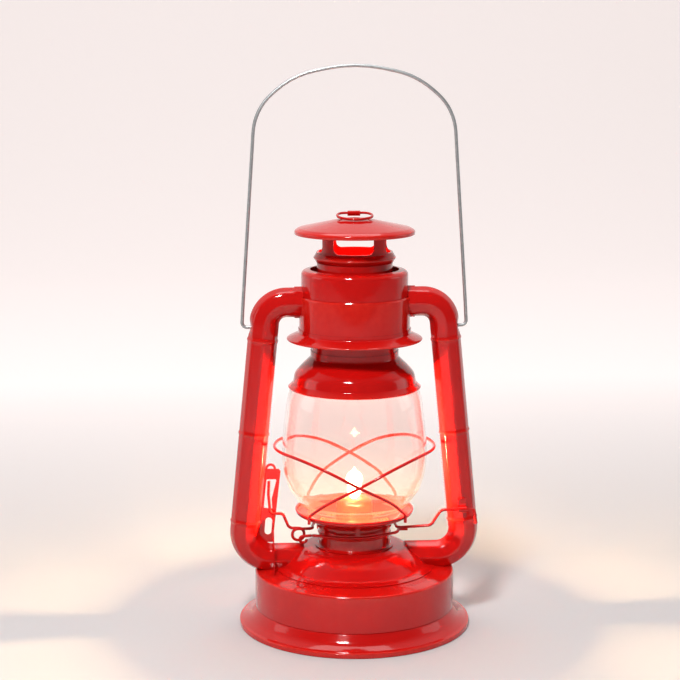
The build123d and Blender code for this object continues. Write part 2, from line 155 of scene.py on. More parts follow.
@dataclass(frozen=True)
class StovedEnamel(Finish):
    """Dipped and stoved enamel on tinplate: wet gloss with a faint orange peel, thinner and worn on
    raised rims."""

    body_hex: str = "#CC110D"
    thick_hex: str = "#B20C0B"
    rim_hex: str = "#DB2C1E"
    peel_mm: float = 2.6
    pool_mm: float = 34.0
    speck_mm: float = 7.0
    roughness: tuple[float, float] = (0.05, 0.11)

    def build(self) -> bpy.types.Material:
        """Make the material.

        Returns:
            The material.
        """
        material, tree, shader, place = self.start()
        pools = add_node(tree, "ShaderNodeTexNoise", {"Vector": place, "Scale": pattern_scale(self.pool_mm),
                                                      "Detail": 2.0})
        tone = add_node(tree, "ShaderNodeMix", {0: pools.outputs["Fac"], 6: linear(self.body_hex),
                                                7: linear(self.thick_hex)}, data_type="RGBA")
        rim = add_node(tree, "ShaderNodeAttribute", attribute_name="rim")
        wear_noise = add_node(tree, "ShaderNodeTexNoise",
                              {"Vector": place, "Scale": pattern_scale(4.0), "Detail": 4.0})
        wear = add_node(tree, "ShaderNodeMath", {0: rim.outputs["Fac"], 1: wear_noise.outputs["Fac"]},
                        operation="MULTIPLY")
        worn = add_node(tree, "ShaderNodeMix",
                        {0: wear.outputs[0], 6: tone.outputs[2], 7: linear(self.rim_hex)},
                        data_type="RGBA")
        tree.links.new(worn.outputs[2], shader.inputs["Base Color"])
        gloss = add_node(tree, "ShaderNodeMapRange",
                         {"Value": wear_noise.outputs["Fac"], "To Min": self.roughness[0],
                          "To Max": self.roughness[1]})
        tree.links.new(gloss.outputs["Result"], shader.inputs["Roughness"])
        shader.inputs["IOR"].default_value = 1.48
        shader.inputs["Coat Weight"].default_value = 0.08
        shader.inputs["Coat Roughness"].default_value = 0.03
        peel = add_node(tree, "ShaderNodeTexNoise", {"Vector": place, "Scale": pattern_scale(self.peel_mm),
                                                     "Detail": 1.0})
        specks = add_node(tree, "ShaderNodeTexVoronoi",
                          {"Vector": place, "Scale": pattern_scale(self.speck_mm)})
        nib = add_node(tree, "ShaderNodeMapRange", {"Value": specks.outputs["Distance"], "From Min": 0.0,
                                                    "From Max": 0.05, "To Min": 1.0, "To Max": 0.0})
        peel_bump = add_node(tree, "ShaderNodeBump", {"Height": peel.outputs["Fac"], "Strength": 0.5,
                                                      "Distance": 0.00006})
        nib_bump = add_node(tree, "ShaderNodeBump", {"Height": nib.outputs["Result"], "Strength": 0.5,
                                                     "Distance": 0.00008,
                                                     "Normal": peel_bump.outputs["Normal"]})
        tree.links.new(nib_bump.outputs["Normal"], shader.inputs["Normal"])
        return material


@dataclass(frozen=True)
class WorkedMetal(Finish):
    """Bare metal: drawn, pressed or dipped, with tarnish clouds and fine marks from the tool."""

    bright_hex: str = "#B4B4B4"
    dull_hex: str = "#7C7C7C"
    cloud_mm: float = 8.0
    mark_mm: float = 0.9
    roughness: tuple[float, float] = (0.28, 0.50)
    mark_depth_mm: float = 0.02
    spangled: bool = False

    def build(self) -> bpy.types.Material:
        """Make the material.

        Returns:
            The material.
        """
        material, tree, shader, place = self.start()
        clouds = add_node(tree, "ShaderNodeTexNoise",
                          {"Vector": place, "Scale": pattern_scale(self.cloud_mm),
                           "Detail": 5.0, "Roughness": 0.6})
        factor = clouds.outputs["Fac"]
        if self.spangled:
            spangle = add_node(tree, "ShaderNodeTexVoronoi", {"Vector": place, "Scale": pattern_scale(3.0)})
            factor = add_node(tree, "ShaderNodeMix",
                              {0: 0.35, 2: factor, 3: spangle.outputs["Distance"]}).outputs[0]
        tone = add_node(tree, "ShaderNodeMix",
                        {0: factor, 6: linear(self.bright_hex), 7: linear(self.dull_hex)},
                        data_type="RGBA")
        tree.links.new(tone.outputs[2], shader.inputs["Base Color"])
        shader.inputs["Metallic"].default_value = 1.0
        rough = add_node(tree, "ShaderNodeMapRange", {"Value": factor, "To Min": self.roughness[0],
                                                      "To Max": self.roughness[1]})
        tree.links.new(rough.outputs["Result"], shader.inputs["Roughness"])
        marks = add_node(tree, "ShaderNodeTexNoise", {"Vector": place, "Scale": pattern_scale(self.mark_mm),
                                                      "Detail": 3.0})
        bump = add_node(tree, "ShaderNodeBump", {"Height": marks.outputs["Fac"], "Strength": 0.6,
                                                 "Distance": self.mark_depth_mm * MM})
        tree.links.new(bump.outputs["Normal"], shader.inputs["Normal"])
        return material


@dataclass(frozen=True)
class BlownGlass(Finish):
    """Blown soda-lime glass: clear, slightly wavy, with a thin soot film of uneven gloss, and a painted warm
    glow low on the globe that stands in for the flame's light on the glass."""

    tint_hex: str = "#FFF4F1"
    clearness: float = 1.0
    wave_mm: float = 22.0
    film_roughness: float = 0.03
    # Painted flame glow on the glass: its colour, the heights it fades between, and its emission strength at
    # the low and the high end.
    painted_glow_hex: str = "#FFD49C"
    painted_glow_low: float = 0.082
    painted_glow_high: float = 0.140
    painted_glow_strength: tuple[float, float] = (0.15, 0.004)

    def build(self) -> bpy.types.Material:
        """Make the material.

        Returns:
            The material.
        """
        material, tree, shader, place = self.start()
        shader.inputs["Base Color"].default_value = linear(self.tint_hex)
        shader.inputs["Transmission Weight"].default_value = self.clearness
        shader.inputs["IOR"].default_value = 1.5
        film = add_node(tree, "ShaderNodeTexNoise",
                        {"Vector": place, "Scale": pattern_scale(30.0), "Detail": 3.0})
        rough = add_node(tree, "ShaderNodeMapRange", {"Value": film.outputs["Fac"], "To Min": 0.0,
                                                      "To Max": self.film_roughness})
        tree.links.new(rough.outputs["Result"], shader.inputs["Roughness"])
        # Painted glow: the glass emits warm light low on the globe, fading to almost nothing above the flame,
        # in place of the flame's light on it.
        height = add_node(tree, "ShaderNodeSeparateXYZ", {0: place}).outputs["Z"]
        glow = add_node(tree, "ShaderNodeMapRange", {"Value": height, "From Min": self.painted_glow_low,
                                                     "From Max": self.painted_glow_high,
                                                     "To Min": self.painted_glow_strength[0],
                                                     "To Max": self.painted_glow_strength[1]},
                        interpolation_type="SMOOTHSTEP")
        tree.links.new(glow.outputs["Result"], shader.inputs["Emission Strength"])
        shader.inputs["Emission Color"].default_value = linear(self.painted_glow_hex)
        waves = add_node(tree, "ShaderNodeTexNoise",
                         {"Vector": place, "Scale": pattern_scale(self.wave_mm)})
        bump = add_node(tree, "ShaderNodeBump",
                        {"Height": waves.outputs["Fac"], "Strength": 0.2, "Distance": 0.0004})
        tree.links.new(bump.outputs["Normal"], shader.inputs["Normal"])
        return material


@dataclass(frozen=True)
class WovenCotton(Finish):
    """Flat woven cotton wick: cream yarns 0.8 mm apart, charred black along the burning edge."""

    yarn_mm: float = 0.8
    cream_hex: str = "#DCCFB0"
    gap_hex: str = "#9A8B6C"
    char_hex: str = "#1C1512"
    burning_edge: float = 0.0925

    def build(self) -> bpy.types.Material:
        """Make the material.

        Returns:
            The material.
        """
        material, tree, shader, place = self.start()
        turns = 1.0 / (self.yarn_mm * MM)
        warp = add_node(tree, "ShaderNodeTexWave",
                        {"Vector": place, "Scale": turns / 3.2, "Distortion": 0.6},
                        bands_direction="Y")
        weft = add_node(tree, "ShaderNodeTexWave",
                        {"Vector": place, "Scale": turns / 3.2, "Distortion": 0.6},
                        bands_direction="Z")
        weave = add_node(tree, "ShaderNodeMath", {0: warp.outputs["Fac"], 1: weft.outputs["Fac"]},
                         operation="MULTIPLY")
        yarn = add_node(tree, "ShaderNodeMix", {0: weave.outputs[0], 6: linear(self.gap_hex),
                                                7: linear(self.cream_hex)}, data_type="RGBA")
        height = add_node(tree, "ShaderNodeSeparateXYZ", {0: place}).outputs["Z"]
        char = add_node(tree, "ShaderNodeMapRange", {"Value": height, "From Min": self.burning_edge - 0.004,
                                                     "From Max": self.burning_edge - 0.001})
        burnt = add_node(tree, "ShaderNodeMix", {0: char.outputs["Result"], 6: yarn.outputs[2],
                                                 7: linear(self.char_hex)}, data_type="RGBA")
        tree.links.new(burnt.outputs[2], shader.inputs["Base Color"])
        shader.inputs["Roughness"].default_value = 0.95
        shader.inputs["Sheen Weight"].default_value = 0.3
        bump = add_node(tree, "ShaderNodeBump", {"Height": weave.outputs[0], "Distance": 0.0002})
        tree.links.new(bump.outputs["Normal"], shader.inputs["Normal"])
        return material


@dataclass(frozen=True)
class MouldedRubber(Finish):
    """Moulded nitrile rubber: dull black with a dusty bloom."""

    base_hex: str = "#17161A"
    bloom_hex: str = "#2E2C2C"

    def build(self) -> bpy.types.Material:
        """Make the material.

        Returns:
            The material.
        """
        material, tree, shader, place = self.start()
        bloom = add_node(tree, "ShaderNodeTexNoise",
                         {"Vector": place, "Scale": pattern_scale(3.0), "Detail": 4.0})
        tone = add_node(tree, "ShaderNodeMix", {0: bloom.outputs["Fac"], 6: linear(self.base_hex),
                                                7: linear(self.bloom_hex)}, data_type="RGBA")
        tree.links.new(tone.outputs[2], shader.inputs["Base Color"])
        shader.inputs["Roughness"].default_value = 0.7
        return material


@dataclass(frozen=True)
class OilFlame(Finish):
    """Burning lamp oil: deep yellow at the wick, white hot in the middle, orange at the tip."""

    wick_hex: str = "#FFA040"
    heart_hex: str = "#FFF3D0"
    tip_hex: str = "#FF9A30"
    low: float = 0.092
    high: float = 0.124
    strength: float = 18.0

    def build(self) -> bpy.types.Material:
        """Make the material.

        Returns:
            The material.
        """
        material, tree, shader, place = self.start()
        height = add_node(tree, "ShaderNodeSeparateXYZ", {0: place}).outputs["Z"]
        rise = add_node(tree, "ShaderNodeMapRange",
                        {"Value": height, "From Min": self.low, "From Max": self.high})
        ramp = add_node(tree, "ShaderNodeValToRGB", {0: rise.outputs["Result"]})
        ramp.color_ramp.elements[0].color = linear(self.wick_hex)
        ramp.color_ramp.elements[1].color = linear(self.tip_hex)
        middle = ramp.color_ramp.elements.new(0.35)
        middle.color = linear(self.heart_hex)
        tree.links.new(ramp.outputs["Color"], shader.inputs["Emission Color"])
        shader.inputs["Base Color"].default_value = linear(self.heart_hex)
        shader.inputs["Emission Strength"].default_value = self.strength
        shader.inputs["Roughness"].default_value = 1.0
        return material


class Surface(Enum):
    """The finishes on the lantern."""

    ENAMEL = StovedEnamel("stoved_enamel")
    ZINC_WIRE = WorkedMetal("galvanised_wire", "#D6D8D8", "#A2A5A7", 6.0, 0.8, (0.40, 0.60), 0.03, True)
    BRASS = WorkedMetal("pressed_brass", "#D2AC62", "#8E6E38", 7.0, 0.7, (0.22, 0.42), 0.02)
    STEEL = WorkedMetal("drawn_steel", "#B9B8B6", "#86847F", 10.0, 0.6, (0.25, 0.45), 0.02)
    GLASS = BlownGlass("blown_glass")
    COTTON = WovenCotton("woven_cotton")
    RUBBER = MouldedRubber("moulded_rubber")
    FLAME = OilFlame("oil_flame")


SLOT_SURFACE = {
    "red_enamel": Surface.ENAMEL, "galvanised_wire": Surface.ZINC_WIRE, "burner_brass": Surface.BRASS,
    "bare_steel": Surface.STEEL, "clear_glass": Surface.GLASS, "cotton_wick": Surface.COTTON,
    "seal_rubber": Surface.RUBBER,
}


class Paintshop:
    """Keeps one material for each finish and dresses pieces with it."""

    def __init__(self) -> None:
        """Build every finish once."""
        self.materials = {surface: surface.value.build() for surface in Surface}

    def dress(self, piece: bpy.types.Object, surface: Surface) -> None:
        """Give a piece one finish all over.

        Args:
            piece: Object to dress.
            surface: Its finish.
        """
        piece.data.materials.clear()
        piece.data.materials.append(self.materials[surface])

    def dress_frame(self, frame: dict) -> None:
        """Give every CAD node the finish of its slot.
        """
        for part in frame["record"]["subparts"]:
            node = frame["nodes"][part["node"]]
            surface = SLOT_SURFACE[part["material_slot"]]
            for slot in node.material_slots:
                slot.material = self.materials[surface]
            if not node.material_slots:
                node.data.materials.append(self.materials[surface])


# ---- shape helpers --------------------------------------------------------------------------
def rounded_path(points: Sequence[Vector], radii: Sequence[float],
                 step: float = math.radians(7)) -> list[Vector]:
    """Join straight runs with tangent arcs.

    Args:
        points: Corners of the route.
        radii: One bend radius for each inner corner, 0 for a sharp one.
        step: Turn between two points on an arc.

    Returns:
        Points along the runs and arcs.
    """
    route = [points[0].copy()]
    for i, radius in enumerate(radii):
        corner = points[i + 1]
        back = (points[i] - corner).normalized()
        onward = (points[i + 2] - corner).normalized()
        turn = math.pi - back.angle(onward)
        if radius <= 0 or turn < 1e-3:
            route.append(corner.copy())
            continue
        reach = radius * math.tan(turn / 2)
        centre = corner + (back + onward).normalized() * (radius / math.cos(turn / 2))
        spoke_in = corner + back * reach - centre
        spoke_out = corner + onward * reach - centre
        count = max(2, math.ceil(turn / step))
        for k in range(count + 1):
            share = k / count
            start_part = spoke_in * math.sin((1 - share) * turn)
            end_part = spoke_out * math.sin(share * turn)
            route.append(centre + (start_part + end_part) / math.sin(turn))
    route.append(points[-1].copy())
    return route


def easy_radii(points: Sequence[Vector]) -> list[float]:
    """A bend radius for each inner corner of a wire, as large as its two runs allow.

    Args:
        points: Corners of the route, in order.

    Returns:
        One radius for each inner corner.
    """
    radii = []
    for i in range(1, len(points) - 1):
        a = points[i] - points[i - 1]
        b = points[i + 1] - points[i]
        radii.append(0.45 * min(a.length, b.length) / math.tan(max(a.angle(b), 1e-3) / 2))
    return radii


def side_step(points: Sequence[Vector], distance: float) -> list[Vector]:
    """Move an open outline to its right by a distance, with mitred corners.

    Args:
        points: Corners of the route, in order.
        distance: How far to move it, positive to its right.

    Returns:
        The moved outline.
    """
    normals = []
    for a, b in zip(points, points[1:]):
        run = (b - a).normalized()
        normals.append(Vector((run.y, -run.x, 0)))
    moved = []
    for i, point in enumerate(points):
        before = normals[max(i - 1, 0)]
        after = normals[min(i, len(normals) - 1)]
        mitre = (before + after).normalized()
        if point.x < 1e-9:
            moved.append(Vector((0, point.y + distance / after.y, 0)))
        else:
            moved.append(point + mitre * (distance / mitre.dot(after)))
    return moved


def object_from(name: str, mesh: bpy.types.Mesh, sharp_deg: float = 38.0) -> bpy.types.Object:
    """Link a mesh into the scene with smooth faces and sharp creases.

    Args:
        name: Name of the piece.
        mesh: Its mesh, in metres in the row frame.
        sharp_deg: Edges that turn more than this stay sharp.

    Returns:
        The new object.
    """
    mesh.shade_smooth()
    mesh.set_sharp_from_angle(angle=math.radians(sharp_deg))
    mesh.name = name
    piece = bpy.data.objects.new(name, mesh)
    bpy.context.scene.collection.objects.link(piece)
    return piece


def turned_mesh(outline: Sequence[Vector], rims: Sequence[float], turns: int = 180) -> bpy.types.Mesh:
    """Turn a closed outline about Z.

    Args:
        outline: Points with x as radius and y as height, in metres.
        rims: How worn each point of the outline is, from 0 to 1.
        turns: Steps round the axis.

    Returns:
        A closed mesh with a "rim" attribute.
    """
    shape = bmesh.new()
    wear = shape.verts.layers.float.new("rim")
    columns = []
    for point, rim in zip(outline, rims):
        column = []
        for k in range(1 if point.x < 1e-9 else turns):
            angle = 2 * math.pi * k / turns
            vert = shape.verts.new((point.x * math.cos(angle), point.x * math.sin(angle), point.y))
            vert[wear] = rim
            column.append(vert)
        columns.append(column)
    for a, b in zip(columns, columns[1:] + columns[:1]):
        for k in range(turns):
            corners = [a[k % len(a)], a[(k + 1) % len(a)], b[(k + 1) % len(b)], b[k % len(b)]]
            corners = list(dict.fromkeys(corners))
            if len(corners) > 2:
                shape.faces.new(corners)
    bmesh.ops.recalc_face_normals(shape, faces=shape.faces)
    mesh = bpy.data.meshes.new("turned")
    shape.to_mesh(mesh)
    shape.free()
    return mesh


@dataclass
class Turning:
    """A spun or pressed sheet part: its outer outline (radius, height above the part's foot) and
    bends, in mm."""

    node: str
    outline: tuple[Point2, ...]
    bends: tuple[float, ...]
    thickness: float = 0.7
    worn: tuple[int, ...] = ()

    def build(self) -> bpy.types.Object:
        """Turn the sheet about Z, standing where its CAD node stands.

        Returns:
            The piece, in place of its CAD node.
        """
        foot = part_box(self.node)[0][2]
        outer = [Vector((r * MM, h * MM + foot, 0)) for r, h in self.outline]
        depth = self.thickness * MM
        inner = side_step(outer, depth)
        inner_bends = []
        for i, bend in enumerate(self.bends):
            a = outer[i + 1] - outer[i]
            b = outer[i + 2] - outer[i + 1]
            left = a.x * b.y - a.y * b.x > 0
            inner_bends.append(max(bend * MM + (depth if left else -depth), 0) if bend else 0)
        outer_path = rounded_path(outer, [bend * MM for bend in self.bends])
        inner_path = rounded_path(inner, inner_bends)
        closed = outer_path + list(reversed(inner_path))
        marks = [outer[i] for i in self.worn]
        rims = [max([0.0] + [1 - (p - m).length / (2.2 * MM) for m in marks]) for p in closed]
        merged = [p for i, p in enumerate(closed) if (p - closed[i - 1]).length > 1e-7]
        kept = [rim for i, rim in enumerate(rims) if (closed[i] - closed[i - 1]).length > 1e-7]
        piece = object_from(f"{self.node}_skin", turned_mesh(merged, kept))
        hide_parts(self.node)
        return piece


def claim(piece: bpy.types.Object, body: str) -> None:
    """Ride a finished piece on its body and log it.

    Args:
        piece: Finished object.
        body: CAD body that it moves with.
    """
    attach(piece, body)
    LOG.info("%s rides on %s, %d faces", piece.name, body, len(piece.data.polygons))


# ---- Geometry Nodes -------------------------------------------------------------------------
class NodeWorks:
    """The Geometry Nodes trees that make wires, coils and rows of pressed ribs."""

    def __init__(self) -> None:
        """Build the trees once."""
        self.wire_tree = self.make_wire_tree()
        self.coil_tree = self.make_coil_tree()
        self.rib_tree = self.make_rib_tree()

    @staticmethod
    def new_tree(name: str, sockets: dict[str, str]) -> tuple[bpy.types.NodeTree, bpy.types.Node]:
        """Start a tree with a geometry input and output and named inputs.

        Args:
            name: Name of the tree.
            sockets: Input name to socket type.

        Returns:
            The tree and its Group Input node.
        """
        tree = bpy.data.node_groups.new(name, "GeometryNodeTree")
        tree.interface.new_socket("Geometry", in_out="INPUT", socket_type="NodeSocketGeometry")
        for socket, kind in sockets.items():
            tree.interface.new_socket(socket, in_out="INPUT", socket_type=kind)
        tree.interface.new_socket("Geometry", in_out="OUTPUT", socket_type="NodeSocketGeometry")
        return tree, add_node(tree, "NodeGroupInput")

    @staticmethod
    def close_tree(tree: bpy.types.NodeTree, given: bpy.types.Node, shape: bpy.types.NodeSocket) -> None:
        """End a tree in Realize Instances and Set Material.

        Args:
            tree: Tree to end.
            given: Its Group Input node.
            shape: Socket that holds the finished geometry.
        """
        real = add_node(tree, "GeometryNodeRealizeInstances", {0: shape})
        smooth = add_node(tree, "GeometryNodeSetShadeSmooth", {0: real.outputs[0]})
        finish = add_node(tree, "GeometryNodeSetMaterial", {"Geometry": smooth.outputs[0],
                                                            "Material": given.outputs["Finish"]})
        add_node(tree, "NodeGroupOutput", {0: finish.outputs[0]})

    def make_wire_tree(self) -> bpy.types.NodeTree:
        """Round wire along the edges of the input.

        Returns:
            The tree.
        """
        tree, given = self.new_tree("wire_along_route",
                                    {"Radius": "NodeSocketFloat", "Sides": "NodeSocketInt",
                                     "Finish": "NodeSocketMaterial"})
        route = add_node(tree, "GeometryNodeMeshToCurve", {0: given.outputs["Geometry"]})
        section = add_node(tree, "GeometryNodeCurvePrimitiveCircle", {"Resolution": given.outputs["Sides"],
                                                                      "Radius": given.outputs["Radius"]})
        wire = add_node(tree, "GeometryNodeCurveToMesh", {0: route.outputs[0], 1: section.outputs[0],
                                                          "Fill Caps": True})
        self.close_tree(tree, given, wire.outputs[0])
        return tree

    def make_coil_tree(self) -> bpy.types.NodeTree:
        """Wire coil about Z that starts at the input height.

        Returns:
            The tree.
        """
        tree, given = self.new_tree("wire_coil", {
            "Turns": "NodeSocketFloat", "Coil Radius": "NodeSocketFloat", "Height": "NodeSocketFloat",
            "Foot": "NodeSocketVector", "Wire Radius": "NodeSocketFloat", "Finish": "NodeSocketMaterial"})
        spiral = add_node(tree, "GeometryNodeCurveSpiral", {
            "Resolution": 40, "Rotations": given.outputs["Turns"],
            "Start Radius": given.outputs["Coil Radius"],
            "End Radius": given.outputs["Coil Radius"], "Height": given.outputs["Height"]})
        section = add_node(tree, "GeometryNodeCurvePrimitiveCircle", {"Resolution": 12,
                                                                      "Radius": given.outputs["Wire Radius"]})
        wire = add_node(tree, "GeometryNodeCurveToMesh", {0: spiral.outputs[0], 1: section.outputs[0],
                                                          "Fill Caps": True})
        placed = add_node(tree, "GeometryNodeTransform", {"Geometry": wire.outputs[0],
                                                          "Translation": given.outputs["Foot"]})
        self.close_tree(tree, given, placed.outputs[0])
        return tree

    def make_rib_tree(self) -> bpy.types.NodeTree:
        """Row of low pressed ribs, one on each point of the input, pointing away from Z.

        Returns:
            The tree.
        """
        tree, given = self.new_tree("pressed_ribs",
                                    {"Length": "NodeSocketFloat", "Radius": "NodeSocketFloat",
                                     "Slope": "NodeSocketFloat",
                                     "Finish": "NodeSocketMaterial"})
        blank = add_node(tree, "GeometryNodeMeshUVSphere", {"Segments": 12, "Rings": 8,
                                                            "Radius": given.outputs["Radius"]})
        stretch = add_node(tree, "ShaderNodeMath", {0: given.outputs["Length"], 1: given.outputs["Radius"]},
                           operation="DIVIDE")
        size = add_node(tree, "ShaderNodeCombineXYZ", {0: stretch.outputs[0], 1: 1.0, 2: 0.6})
        rib = add_node(tree, "GeometryNodeTransform",
                       {"Geometry": blank.outputs[0], "Scale": size.outputs[0]})
        place = add_node(tree, "GeometryNodeInputPosition")
        parts = add_node(tree, "ShaderNodeSeparateXYZ", {0: place.outputs[0]})
        turn = add_node(tree, "ShaderNodeMath", {0: parts.outputs["Y"], 1: parts.outputs["X"]},
                        operation="ARCTAN2")
        facing = add_node(tree, "ShaderNodeCombineXYZ", {1: given.outputs["Slope"], 2: turn.outputs[0]})
        ribs = add_node(tree, "GeometryNodeInstanceOnPoints", {"Points": given.outputs["Geometry"],
                                                               "Instance": rib.outputs[0],
                                                               "Rotation": facing.outputs[0]})
        self.close_tree(tree, given, ribs.outputs[0])
        return tree

    @staticmethod
    def run(name: str, tree: bpy.types.NodeTree, base: bpy.types.Mesh, values: dict) -> bpy.types.Object:
        """Run a tree once and keep its result as a plain mesh.

        Args:
            name: Name of the piece.
            tree: Geometry Nodes tree.
            base: Input mesh.
            values: Input name to value.

        Returns:
            The finished object, without modifiers.
        """
        carrier = bpy.data.objects.new(name + "_route", base)
        bpy.context.scene.collection.objects.link(carrier)
        works = carrier.modifiers.new("works", "NODES")
        works.node_group = tree
        for item in tree.interface.items_tree:
            if item.in_out == "INPUT" and item.name in values:
                works[item.identifier] = values[item.name]
        evaluated = carrier.evaluated_get(bpy.context.evaluated_depsgraph_get())
        mesh = bpy.data.meshes.new_from_object(evaluated)
        bpy.data.objects.remove(carrier)
        return object_from(name, mesh)

    def wire(self, name: str, route: Sequence[Vector], radius_mm: float,
             finish: bpy.types.Material) -> bpy.types.Object:
        """Bend round wire along a route.

        Args:
            name: Name of the piece.
            route: Points in metres.
            radius_mm: Radius of the wire.
            finish: Material.

        Returns:
            The wire as a mesh object.
        """
        base = bpy.data.meshes.new(name)
        base.from_pydata([tuple(p) for p in route], [(i, i + 1) for i in range(len(route) - 1)], [])
        return self.run(name, self.wire_tree, base,
                        {"Radius": radius_mm * MM, "Sides": 20, "Finish": finish})


# ---- sub-assemblies -------------------------------------------------------------------------
@dataclass
class Fount:
    """Oil tank with its flared foot and the air dome on top."""

    foot: Turning
    tank: Turning
    dome: Turning
    rib_radius: float = 61.5
    rib_arc: tuple[float, float] = (20.0, 52.0)
    rib_count: int = 13
    rib_length: float = 2.6
    rib_width: float = 0.45

    @classmethod
    def standard(cls) -> "Fount":
        """The fount's own sizes, in mm.

        Returns:
            The sub-assembly, ready to build.
        """
        return cls(
            foot=Turning("foot_skirt", ((71.6, 22.0), (71.6, 14.2), (72.7, 13.0), (76.3, 7.4), (81.6, 4.3),
                                        (83.9, 3.7), (83.9, 0.0), (81.6, 0.0), (81.6, 2.2)),
                         (0.4, 0.9, 10, 5, 0.9, 0.8, 0.8), worn=(5, 6)),
            tank=Turning("fount_shell", ((20.5, 29.0), (52.0, 29.0), (72.4, 26.2), (72.4, 0.0)), (6, 1.7),
                         worn=(2,)),
            dome=Turning("air_dome", ((26.2, 15.4), (37.5, 14.8), (45.6, 8.6), (52.5, 1.5), (58.0, 0.7)),
                         (9, 12, 6), worn=()))

    def build(self, shop: Paintshop, works: NodeWorks) -> None:
        """Turn the three sheets and press the generic ribs into the shoulder.

        Args:
            shop: Keeps the materials.
            works: Keeps the Geometry Nodes trees.
        """
        for turning in (self.foot, self.tank, self.dome):
            piece = turning.build()
            shop.dress(piece, Surface.ENAMEL)
            claim(piece, "frame")
        self.press_ribs(shop, works)

    def press_ribs(self, shop: Paintshop, works: NodeWorks) -> None:
        """Two rows of plain ribs on the front of the shoulder.

        Args:
            shop: Keeps the materials.
            works: Keeps the Geometry Nodes trees.
        """
        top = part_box("fount_shell")[1][2]
        slope = math.atan2(2.8, 20.4)
        height = top - (self.rib_radius - 52.0) * MM * math.tan(slope) - 0.05 * MM
        spots = []
        for side in (-1, 1):
            for k in range(self.rib_count):
                share = k / (self.rib_count - 1)
                angle = math.radians(self.rib_arc[0] + (self.rib_arc[1] - self.rib_arc[0]) * share) * side
                spots.append((self.rib_radius * MM * math.sin(angle),
                              -self.rib_radius * MM * math.cos(angle), height))
        base = bpy.data.meshes.new("shoulder_rib_spots")
        base.from_pydata(spots, [], [])
        ribs = works.run("shoulder_ribs", works.rib_tree, base, {
            "Length": self.rib_length * MM, "Radius": self.rib_width * MM, "Slope": slope,
            "Finish": shop.materials[Surface.ENAMEL]})
        claim(ribs, "frame")


@dataclass
class AirTube:
    """Faceted air tube: an eight-sided section bent along its route, with pressed beads and a dimple
    at the bail hole."""

    node: str
    side: int
    ridge: float = 11.0
    ridge_cut: float = 0.25
    crispness: float = 6.0
    section_steps: int = 64
    corner_top: Point2 = (63.1, 236.4)
    corner_low: Point2 = (81.7, 48.6)
    start_x: float = 37.8
    end_x: float = 37.0
    bends: Point2 = (16.0, 20.0)
    beads: tuple[float, ...] = (209.5, 141.5, 76.5)
    bead_height: float = 0.55
    bead_width: float = 1.1
    dimple: float = 1.3
    dimple_width: float = 4.5

    def section(self) -> list[Point2]:
        """One loop of the section, ridges first, blended from flats into rounded ridges.

        Returns:
            Reach and angle of each point round the centre line.
        """
        loop = []
        half_side = math.pi / 8
        flat_reach = self.ridge * math.cos(half_side)
        for k in range(self.section_steps):
            angle = 2 * math.pi * k / self.section_steps
            from_ridge = (angle + half_side) % (2 * half_side) - half_side
            on_flat = flat_reach / math.cos(half_side - abs(from_ridge))
            on_ridge = self.ridge - self.ridge_cut
            weight = math.exp(-self.crispness * on_flat) + math.exp(-self.crispness * on_ridge)
            loop.append((-math.log(weight) / self.crispness, angle))
        return loop

    def route(self) -> list[Vector]:
        """Centre line from the hood to the dome, with close steps at the beads and the dimple.

        Returns:
            Points in mm, for the right-hand tube.
        """
        corners = [Vector((self.start_x, 0, self.corner_top[1])),
                   Vector((self.corner_top[0], 0, self.corner_top[1])),
                   Vector((self.corner_low[0], 0, self.corner_low[1])),
                   Vector((self.end_x, 0, self.corner_low[1]))]
        coarse = rounded_path(corners, self.bends, math.radians(4))
        fine = []
        for a, b in zip(coarse, coarse[1:]):
            count = max(1, math.ceil((b - a).length / 0.7))
            fine.extend(a.lerp(b, k / count) for k in range(count))
        fine.append(coarse[-1])
        return fine

    def build(self, shop: Paintshop) -> None:
        """Sweep the section along the route.

        Args:
            shop: Keeps the materials.
        """
        shape = bmesh.new()
        wear = shape.verts.layers.float.new("rim")
        route = self.route()
        loop = self.section()
        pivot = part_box("bail")[0][2] / MM + 2.0
        rings = []
        for i, centre in enumerate(route):
            ahead = (route[min(i + 1, len(route) - 1)] - route[max(i - 1, 0)]).normalized()
            across = Vector((0, 1, 0))
            outward = across.cross(ahead).normalized()
            on_leg = abs(ahead.z) > 0.9
            lift = 0.0
            if on_leg:
                for bead in self.beads:
                    lift += self.bead_height * math.exp(-((centre.z - bead) / self.bead_width) ** 2)
            ring = []
            for radius, angle in loop:
                spoke = outward * math.cos(angle) + across * math.sin(angle)
                point = centre + spoke * (radius + lift)
                if spoke.x > 0.5:
                    gap = math.hypot(point.z - pivot, point.y * 1.1)
                    point.x -= self.dimple * math.exp(-(gap / self.dimple_width) ** 2) * spoke.x
                vert = shape.verts.new((point.x * self.side * MM, point.y * MM, point.z * MM))
                vert[wear] = 0.35 if lift > 0.2 else 0.0
                ring.append(vert)
            rings.append(ring)
        for a, b in zip(rings, rings[1:]):
            for k in range(len(a)):
                shape.faces.new((a[k], a[(k + 1) % len(a)], b[(k + 1) % len(a)], b[k]))
        shape.faces.new(rings[0])
        shape.faces.new(list(reversed(rings[-1])))
        bmesh.ops.recalc_face_normals(shape, faces=shape.faces)
        mesh = bpy.data.meshes.new(self.node)
        shape.to_mesh(mesh)
        shape.free()
        piece = object_from(f"{self.node}_skin", mesh)
        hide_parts(self.node)
        shop.dress(piece, Surface.ENAMEL)
        claim(piece, "frame")


